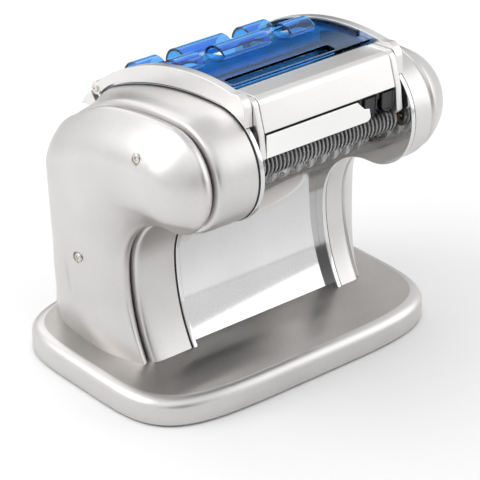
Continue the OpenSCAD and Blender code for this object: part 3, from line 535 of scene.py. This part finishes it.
sideShape = {
    # edge rows: way out, inset, taper, taper at the rear corner; the crest of the cover overhangs the crease
    "left": {"face": -97.4, "depth": 46.0, "start": 18.0, "way": -1, "firstInset": 6.8, "power": 2.2,
             "band": [(-27.8, 0, 0, 0), (-24, 0, 0, 0.12), (-19, 0, 0, 0.36), (-13, 0, 0.02, 0.58),
                      (-7, 0, 0.1, 0.74), (-2, 0, 0.24, 0.86), (2, 0.1, 0.43, 0.93), (5.4, 0.3, 0.64, 0.97),
                      (8.4, 0.9, 0.83, 1), (10.2, 2.1, 0.95, 1), (11, 4.4, 1, 1), (11.4, 9.5, 1, 1)],
             "lip": [(12.2, 11.5, 1, 1), (12.1, 9.4, 1, 1), (12.4, 7.6, 1, 1), (13.4, 5.8, 1, 1),
                     (15.2, 4.3, 1, 1), (17.8, 3.3, 1, 1), (20.8, 3.1, 1, 1)],
             "screws": [(-50.3, 222.2, 4.5), (22.8, 108.7, 2.6)]},  # y, z, seat below the crown
    "right": {"face": 104.4, "depth": 43.0, "start": 10.8, "way": 1, "firstInset": 4.5, "power": 3.2,
              "band": [(-11.8, 0, 0, 0), (-9, 0, 0, 0.15), (-5, 0, 0.04, 0.42), (-1, 0, 0.18, 0.66),
                       (3, 0.1, 0.5, 0.86), (6, 0.5, 0.8, 0.96), (7.8, 1.5, 0.95, 1), (8.7, 3.3, 1, 1),
                       (9.0, 6.5, 1, 1)],
              "lip": [(9.6, 8.0, 1, 1), (9.5, 6.4, 1, 1), (9.6, 4.9, 1, 1), (10.2, 3.7, 1, 1),
                      (11.2, 2.9, 1, 1), (12.6, 2.5, 1, 1), (14.4, 2.9, 1, 1)],
              "screws": [(-74.0, 199.0, 0.96), (39.0, 98.0, 2.0)]},
    "insets": [10, 14, 19, 25, 31, 38, 44],
    "finer": 4,
    "taper": 10.0,  # how far the back is drawn in
    "backFrom": 5, "backRun": 75,
    "cornerRun": 70, "cornerFrom": 135, "cornerRise": 50,  # where the rear corner is drawn in sooner
    "fullInset": 45.0,  # inset of the crown
    "across": 6,  # steps over the crown
    "wall": 2.4,
    "dimple": (4.8, 5.6),  # radius at the seat and at the surface
    # openings for the switch and the inlet: lowest and highest corner
    "holes": [((-91.3, 80, 108), (-75.3, 120, 132)), ((-92.3, 80, 52), (-74.3, 120, 64))],
}


swelling = {
    # share of the bulge that is lost at the floor and at the edges of the leg, and the heights and widths for it
    "footLoss": 0.55, "footTop": 100,
    "edgeLoss": 0.6, "legTop": 175, "legRun": 75, "legMiddle": 23, "legHalf": 66,
}


def eased(t):
    u = min(max(t, 0.0), 1.0)
    return u * u * (3 - 2 * u)


def fullness(y, z):
    # share of the bulge: less near the base and towards the edges of the leg
    w = swelling
    foot = 1 - w["footLoss"] * (max(w["footTop"] - z, 0) / (w["footTop"] - sideArcs["floor"])) ** 2
    leg = min(max((w["legTop"] - z) / w["legRun"], 0), 1)
    return foot * (1 - w["edgeLoss"] * leg * ((y - w["legMiddle"]) / w["legHalf"]) ** 2)


def smoothPath(spots, finer):
    # curve through all spots, evenly loose whatever their distances
    def lerp(a, b, t):
        return [p + (q - p) * t for p, q in zip(a, b)]
    ends = [lerp(spots[1], spots[0], 2)] + [list(p) for p in spots] + [lerp(spots[-2], spots[-1], 2)]
    path = [tuple(spots[0])]
    for i in range(1, len(ends) - 2):
        four = ends[i - 1:i + 3]
        knots = [0.0]
        for a, b in zip(four, four[1:]):
            knots.append(knots[-1] + math.dist(a, b) ** 0.5)
        for k in range(1, finer + 1):
            t = knots[1] + (knots[2] - knots[1]) * k / finer
            low = [lerp(four[m], four[m + 1], (t - knots[m]) / (knots[m + 1] - knots[m])) for m in range(3)]
            mid = [lerp(low[m], low[m + 1], (t - knots[m]) / (knots[m + 2] - knots[m])) for m in range(2)]
            path.append(tuple(lerp(mid[0], mid[1], (t - knots[1]) / (knots[2] - knots[1]))))
    return path


def outAt(shape, out, y, z):
    # place along X of a spot that lies that far out of the full bulge
    start = shape["start"]
    out = start + (out - start) * fullness(y, z) if out > start else out
    return shape["face"] + shape["way"] * out


def sideRing(shape, out, inset, taper, rear):
    # upper and lower side of one ring, drawn in on the back, sooner at the rear corner
    c = sideShape
    sides = []
    drawn = inset + c["taper"] * (1 - inset / c["fullInset"])
    for near, far in zip(outlineSides(inset), outlineSides(drawn)):
        side = []
        for (y, z), (farY, farZ) in zip(near, far):
            sooner = (rear - taper) * eased(y / c["cornerRun"])
            sooner *= eased((z - c["cornerFrom"]) / c["cornerRise"])
            share = eased((y - c["backFrom"]) / c["backRun"]) * (taper + sooner)
            y, z = y + (farY - y) * share, z + (farZ - z) * share
            side.append((outAt(shape, out, y, z), y, z))
        sides.append(side)
    return sides


def loftRings(shape, profile):
    points, faces = [], []
    for spot in profile:
        upper, lower = sideRing(shape, *spot)
        points += upper[::-1] + lower[1:]
    row = 2 * len(upper) - 1
    for i in range(len(profile) - 1):
        for j in range(row - 1):
            a = i * row + j
            faces.append((a, a + 1, a + 1 + row, a + row))
    return points, faces, upper, lower


def coverProfile(shape):
    c = sideShape
    swell = shape["depth"] - shape["start"]
    spots = list(shape["lip"])
    for inset in [shape["firstInset"]] + c["insets"]:
        rest = 1 - (inset - 1) / (c["fullInset"] - 1)
        spots.append((shape["depth"] - swell * rest ** shape["power"], inset, 1, 1))
    return smoothPath(spots, c["finer"])


def closeShell(piece, shape):
    # outward normals, then the wall
    outer = max(piece.data.polygons, key=lambda f: f.center.x * shape["way"] + f.center.z)
    if outer.normal.x * shape["way"] + outer.normal.z < 0:
        piece.data.flip_normals()
    addModifier(piece, "SOLIDIFY", "wall", thickness=sideShape["wall"] * mm, offset=-1, use_even_offset=False)
    return bakeModifiers(piece)


def makeBand(side):
    shape = sideShape[side]
    points, faces, _, _ = loftRings(shape, smoothPath(shape["band"], 3))
    band = closeShell(makePiece(side + "Shoulder", points, faces), shape)
    if side == "left":
        for low, high in sideShape["holes"]:
            cutOut(band, makePiece("hole", boxPoints(low, high), latheFaces(2, 4)))
    return sharpenEdges(band)


def makeCover(side):
    shape = sideShape[side]
    profile = coverProfile(shape)
    points, faces, upper, lower = loftRings(shape, profile)
    # crown, filled across from one side to the other
    row = 2 * len(upper) - 1
    steps = sideShape["across"]
    last = (len(profile) - 1) * row + len(upper) - 1
    before = [last] * (steps + 1)
    for k in range(1, len(upper)):
        (_, y0, z0), (_, y1, z1) = upper[k], lower[k]
        inner = len(points)
        for m in range(1, steps):
            y, z = y0 + (y1 - y0) * m / steps, z0 + (z1 - z0) * m / steps
            points.append((outAt(shape, profile[-1][0], y, z), y, z))
        line = [last - k] + [inner + m for m in range(steps - 1)] + [last + k]
        for m in range(steps):
            quad = (before[m], line[m], line[m + 1], before[m + 1])
            faces.append(quad if k > 1 else quad[:3])
        before = line
    cover = closeShell(makePiece(side + "CoverShell", points, faces), shape)
    seat, mouth = sideShape["dimple"]
    way = shape["way"]
    for y, z, sink in shape["screws"]:
        face = shape["face"] + way * (shape["depth"] - sink)
        dimple = [(seat, face - way * 0.1), (seat, face), (mouth, face + way * 2.5),
                  (mouth + 2.5, face + way * 9)]
        cutOut(cover, turnShape("dimple", dimple, 40, (0, y, z), "X"))
    if side == "right":
        pocket = [(dial["cup"] + 1, x) for x in dial["pocket"]]
        cutOut(cover, turnShape("pocket", pocket, dial["steps"], (0, dial["y"], dial["z"]), "X"))
    return sharpenEdges(cover)


dial = {
    "y": 7.1, "z": 190.0, "x": 137.4,  # its axis, and the floor of the cup
    "cup": 28.6, "wall": 2.4, "rim": 148.3,
    "pocket": (120, 160),  # ends of the opening in the cover
    "plate": 27.0, "bore": 6.2,
    "flange": 21.0, "grip": 18.6, "top": 154.0,
    "ribs": 18, "rib": 1.5,
    "marks": 6, "turn": 270, "markRadius": 24.0,
    "steps": 96,
}


def makeDial():
    d = dial
    centre = (0, d["y"], d["z"])
    cup, wall, rim = d["cup"], d["wall"], d["rim"]
    hole = 5.6
    profile = [(hole, d["x"] - wall), (cup + wall, d["x"] - wall), (cup + wall, rim - 0.9),
               (cup + wall - 0.3, rim - 0.25), (cup + wall - 0.9, rim), (cup + 0.7, rim),
               (cup + 0.2, rim - 0.3), (cup, rim - 0.9), (cup, d["x"] + 1.2), (cup - 0.4, d["x"] + 0.3),
               (cup - 1.2, d["x"]), (hole, d["x"])]
    dish = turnShape("dialCup", profile, d["steps"], centre, "X")
    settle(dish, "housing", "satinChrome", "satin_silver", "right_cover")
    profile = [(d["bore"], d["x"]), (d["plate"], d["x"]), (d["plate"], d["x"] + 0.5),
               (d["plate"] - 0.3, d["x"] + 0.8), (d["bore"], d["x"] + 0.8)]
    plate = turnShape("dialPlate", profile, d["steps"], centre, "X")
    settle(plate, "housing", "brushedSteel", "satin_silver", "setting_ring")
    spots = []
    for i in range(d["marks"]):
        a = math.radians(90 + d["turn"] * i / (d["marks"] - 1))
        across, up = d["markRadius"] * math.cos(a), d["markRadius"] * math.sin(a)
        # each dot larger than the one before
        spots.append(((d["x"] + 0.7, d["y"] + across, d["z"] + up), (1, 0, 0), 0.55 + 0.11 * i))
    mark = turnShape("mark", [(0.02, -0.4), (1.2, -0.4), (1.2, 0.2), (0.9, 0.45), (0.02, 0.55)], 20)
    marks = growOnPoints("dialMarks", mark, 0.0, 3, "glossBlack", spots)
    bpy.data.objects.remove(mark)
    settle(marks, "housing", "glossBlack", "satin_silver", "setting_ring")


def makeKnob():
    d = dial
    base, top = d["x"] + 1.2, d["top"]
    flange, grip = d["flange"], d["grip"]
    hole = 4.0
    profile = [(hole, base), (flange - 0.5, base), (flange, base + 0.5), (flange, base + 1.8),
               (flange - 0.6, base + 2.5), (grip + 0.7, base + 2.8), (grip + 0.2, base + 3.1),
               (grip, base + 3.8), (grip - 0.3, top - 2.2), (grip - 0.9, top - 0.9), (grip - 2.1, top - 0.2),
               (grip - 3.6, top), (grip - 6, top - 0.2), (hole, top - 0.9)]
    knob = turnShape("knobBody", profile, d["steps"], (0, d["y"], d["z"]), "X")
    settle(knob, "thickness_knob", "texturedBlack", "black_gloss", "knob")
    profile = [(0.05, 0), (d["rib"], 0), (d["rib"], 9.6), (d["rib"] * 0.8, 10.5), (d["rib"] * 0.4, 11)]
    rib = turnShape("rib", profile, 14, (0, 0, 0), "X")
    values = {"Part": rib, "Count": d["ribs"], "Radius": (grip - 0.3) * mm,
              "Centre": ((base + 2.2) * mm, d["y"] * mm, d["z"] * mm), "Material": finishes["texturedBlack"]}
    ribs = growPiece("knobRibs", trees["inCircle"], values)
    bpy.data.objects.remove(rib)
    settle(ribs, "thickness_knob", "texturedBlack", "black_gloss", "knob")
    low, high = d["z"] + 6, d["z"] + grip - 2.6
    half = 0.8
    line = [(x, d["y"] + side * half * t, z) for x, t in ((top - 1.2, 1), (top + 0.25, 1), (top + 0.4, 0.8))
            for side, z in ((-1, low), (1, low), (1, high), (-1, high))]
    pointer = sharpenEdges(makePiece("knobPointer", line, latheFaces(3, 4)))
    settle(pointer, "thickness_knob", "markWhite", "black_gloss", "knob")


def makeScrewHead():
    # pan head with a cross recess, seat at height 0
    profile = [(2.0, -4), (2.0, 0), (4.1, 0), (4.1, 0.35), (3.9, 0.95), (3.3, 1.4), (2.2, 1.7), (0.9, 1.8)]
    head = turnShape("screwHead", profile, 32)
    cross = []
    for height, reach, half in ((0.55, 1.0, 0.22), (2.2, 2.6, 0.52)):
        outline = [(half, half), (reach, half), (reach, -half), (half, -half)]
        for turn in range(4):
            a = -math.pi / 2 * turn
            c, sn = round(math.cos(a)), round(math.sin(a))
            cross += [(c * x - sn * y, sn * x + c * y, height) for x, y in outline[:3]]
    return sharpenEdges(cutOut(head, makePiece("recess", cross, latheFaces(2, 12))))


pivotScrews = {
    "y": 90.07, "z": 211.0, "size": 0.88,
    "faces": [(-70.0, -1), (93.0, 1)],  # place along X and way out
}


def makeScrews():
    spots = []
    for side in ("left", "right"):
        shape = sideShape[side]
        for y, z, sink in shape["screws"]:
            x = shape["face"] + shape["way"] * (shape["depth"] - sink)
            spots.append(((x, y, z), (shape["way"], 0, 0), 1.0))
    head = makeScrewHead()
    screws = growOnPoints("coverScrewHeads", head, 1.5, 11, "nickelPlate", spots)
    settle(screws, "housing", "nickelPlate", "screw_steel", "cover_screws")
    p = pivotScrews
    spots = [((x, p["y"], p["z"]), (way, 0, 0), p["size"]) for x, way in p["faces"]]
    pivots = growOnPoints("pivotScrewHeads", head, 1.5, 5, "nickelPlate", spots)
    bpy.data.objects.remove(head)
    settle(pivots, "guard", "nickelPlate", "screw_steel")


comb = {
    "count": 6, "last": 70.9, "pitch": 18.4,  # the row is counted from its right end
    "front": -99.2, "tip": 224.0, "outer": 6.7, "inner": 5.3, "height": 10.0,
    "carrier": ((-56.2, -99.4, 229.0), (79.2, -94.6, 234.4)),
}


def makeComb():
    c = comb
    points = []
    levels = [(c["outer"] - 0.2, 0), (c["outer"], -0.3), (c["outer"], -1.9), (c["outer"] - 0.25, -2.3),
              (c["outer"] - 0.7, -2.4), (c["inner"] + 0.2, -2.2), (c["inner"], -1.8),
              (c["inner"] - 0.3, -1.15), (c["inner"] - 1.2, -1.0)]
    arc = [math.radians(180 + 180 * i / 20) for i in range(21)]
    for radius, y in levels:
        loop = [(-radius, c["height"])] + [(radius * math.cos(a), radius * math.sin(a)) for a in arc]
        loop.append((radius, c["height"]))
        points += [(x, y, z) for x, z in loop]
    tongue = sharpenEdges(makePiece("tongue", points, latheFaces(len(levels), len(loop))), 50)
    values = {"Part": tongue, "Count": c["count"], "First": (c["last"] * mm, c["front"] * mm, c["tip"] * mm),
              "Spacing": (-c["pitch"] * mm, 0, 0), "Material": finishes["glossBlack"]}
    row = growPiece("combTongues", trees["inRow"], values)
    bpy.data.objects.remove(tongue)
    settle(row, "housing", "glossBlack", "black_gloss", "rib_comb")
    carrier = makePiece("combCarrier", boxPoints(*c["carrier"]), latheFaces(2, 4))
    softenEdges(carrier, 0.6, 3)
    settle(carrier, "housing", "glossBlack", "black_gloss", "rib_comb")


# dark beads in the seams between the bands and the flanges: painted shadow, a dark thing standing in for the
# shade in the gap
seams = {
    # name: (place along X, inset, radius, finish)
    "leftSeamGasket": (-69.55, 0.15, 0.75, "mouldedRubber"),
    "rightSeamGasket": (92.55, 0.15, 0.75, "mouldedRubber"),
}


def makeSeams():
    for name, (x, inset, radius, finish) in seams.items():
        upper, lower = outlineSides(inset)
        spots = [(x * mm, y * mm, z * mm) for y, z in upper[::-1] + lower[1:]]
        path = bpy.data.meshes.new(name)
        path.from_pydata(spots, [(i, i + 1) for i in range(len(spots) - 1)], [])
        bead = growPiece(name, trees["onPath"], {"Radius": radius * mm, "Material": finishes[finish]}, path)
        settle(bead, "housing", finish, "foot_rubber")


def makeSides():
    for side in ("left", "right"):
        settle(makeBand(side), "housing", "satinChrome", "satin_silver", side + "_band")
        settle(makeCover(side), "housing", "satinChrome", "satin_silver", side + "_cover")
    print("side covers made")


makeSides()
makeDial()
makeKnob()
makeScrews()
makeComb()
makeSeams()
print("small parts made")

baseShape = {
    "width": 310.0, "depth": 213.6, "centreY": 5.2,
    "squareness": 4.5,
    "bottom": 1.5, "top": 24.0,
    "fillet": (8.6, 8.0),  # how far the rounded edge runs in and down
    "steps": 240,
    "wall": 2.2,
}


def baseLoop(inset, height):
    s = baseShape
    power = 2 / s["squareness"]
    loop = []
    for i in range(s["steps"]):
        a = 2 * math.pi * i / s["steps"]
        c, d = math.cos(a), math.sin(a)
        loop.append(((s["width"] / 2 - inset) * math.copysign(abs(c) ** power, c),
                     s["centreY"] + (s["depth"] / 2 - inset) * math.copysign(abs(d) ** power, d), height))
    return loop


def makeBase():
    s = baseShape
    run, drop = s["fillet"]
    profile = [(1.2, s["bottom"]), (0.35, s["bottom"] + 0.35), (0, s["bottom"] + 1.2),
               (0, s["top"] - drop - 4)]
    profile += [(run * (1 - math.cos(math.radians(t))), s["top"] - drop + drop * math.sin(math.radians(t)))
                for t in range(0, 91, 9)]
    profile += [(run + 1.5, s["top"]), (run + 10, s["top"])]
    points = [p for inset, height in profile for p in baseLoop(inset, height)]
    faces = latheFaces(len(profile), s["steps"])
    del faces[-2]  # open below
    base = makePiece("baseHousing", points, faces)
    base.data.materials.append(finishes["satinChrome"])
    base.data.materials.append(finishes["satinChromeShadedTop"])
    # faces of the flat top get the darker copy of the coat: painted shade on the top, the sides keep the plain
    # coat
    flat = (s["top"] - 0.02) * mm
    for face in base.data.polygons:
        lowest = min(base.data.vertices[i].co.z for i in face.vertices)
        face.material_index = 1 if lowest > flat else 0
    addModifier(base, "SOLIDIFY", "wall", thickness=s["wall"] * mm, offset=-1)
    return base


settle(makeBase(), "housing", None, "satin_silver", "base_shell")
print("base made")

studio = {
    "floor": "#f4f4f4", "reach": 4000,
    # strength of the white paper all round: seen, in reflections and as scattered light
    "seen": 1.0, "mirrored": 0.90, "scattered": 0.82,
    # dark openings in what is mirrored and scattered, a tall one in front and a round one behind:
    # way there, squeeze in height, cosines where the dark starts and where it is full, colour
    "openings": [((-0.36, -0.93, 0.0), 0.35, (0.86, 0.985), "#030304"),
                 ((0.56, 0.82, 0.02), 1.0, (0.90, 0.97), "#0c0e12")],
}


def makeFloor():
    r = studio["reach"]
    piece = makePiece("floor", [(-r, -r, 0), (r, -r, 0), (r, r, 0), (-r, r, 0)], [(0, 1, 2, 3)])
    tree = startFinish("studioFloor")
    shader = addNode(tree, "ShaderNodeBsdfPrincipled",
                     values={"Base Color": hexColour(studio["floor"]), "Roughness": 0.8})
    addNode(tree, "ShaderNodeOutputMaterial", links={"Surface": shader.outputs["BSDF"]})
    piece.data.materials.append(finishes["studioFloor"])


def makeWorld():
    world = bpy.data.worlds.new("studio")
    bpy.context.scene.world = world
    world.use_nodes = True
    tree = world.node_tree
    tree.nodes.clear()
    way = addNode(tree, "ShaderNodeTexCoord")
    shades = []
    for place, height, edge, dark in studio["openings"]:
        flat = addNode(tree, "ShaderNodeMapping", values={"Scale": (1, 1, height)},
                       links={"Vector": way.outputs["Generated"]})
        aim = addNode(tree, "ShaderNodeVectorMath", {"operation": "NORMALIZE"},
                      links={0: flat.outputs["Vector"]})
        facing = addNode(tree, "ShaderNodeVectorMath", {"operation": "DOT_PRODUCT"},
                         {1: Vector(place).normalized()}, {0: aim.outputs["Vector"]})
        ramp = addNode(tree, "ShaderNodeValToRGB", links={"Fac": facing.outputs["Value"]})
        ramp.color_ramp.elements[0].position = edge[0]
        ramp.color_ramp.elements[0].color = (1, 1, 1, 1)
        ramp.color_ramp.elements[1].position = edge[1]
        ramp.color_ramp.elements[1].color = hexColour(dark)
        shades.append(ramp.outputs["Color"])
    shade = addNode(tree, "ShaderNodeVectorMath", {"operation": "MULTIPLY"},
                    links={0: shades[0], 1: shades[1]})
    soft = addNode(tree, "ShaderNodeBackground", values={"Strength": studio["scattered"]},
                   links={"Color": shade.outputs["Vector"]})
    room = addNode(tree, "ShaderNodeBackground", values={"Strength": studio["mirrored"]},
                   links={"Color": shade.outputs["Vector"]})
    paper = addNode(tree, "ShaderNodeBackground", values={"Color": (1, 1, 1, 1), "Strength": studio["seen"]})
    path = addNode(tree, "ShaderNodeLightPath")
    glossy = addNode(tree, "ShaderNodeMixShader", links={"Fac": path.outputs["Is Glossy Ray"],
                     1: soft.outputs["Background"], 2: room.outputs["Background"]})
    seen = addNode(tree, "ShaderNodeMath", {"operation": "MAXIMUM"}, links={0: path.outputs["Is Camera Ray"],
                   1: path.outputs["Is Transmission Ray"]})
    both = addNode(tree, "ShaderNodeMixShader", links={"Fac": seen.outputs["Value"],
                   1: glossy.outputs["Shader"], 2: paper.outputs["Background"]})
    addNode(tree, "ShaderNodeOutputWorld", links={"Surface": both.outputs["Shader"]})


lampAim = (0, 0, 0.12)
lamps = {
    # name: (place, size, watts), lengths in metres
    "key": ((-1.6, 0.8, 1.5), 2.1, 22),
    "front": ((-0.9, -1.5, 1.7), 2.2, 8),
    "fill": ((1.5, -1.0, 0.9), 1.8, 8),
    "back": ((0.4, 1.7, 1.4), 1.8, 6),
}


def makeLamps():
    for name, (place, size, watts) in lamps.items():
        light = bpy.data.lights.new(name, "AREA")
        light.shape = "DISK"
        light.size = size
        light.energy = watts
        lamp = bpy.data.objects.new(name, light)
        bpy.context.scene.collection.objects.link(lamp)
        lamp.location = place
        lamp.rotation_euler = (Vector(place) - Vector(lampAim)).to_track_quat("Z", "Y").to_euler()


makeFloor()
makeWorld()
makeLamps()
print("studio ready")
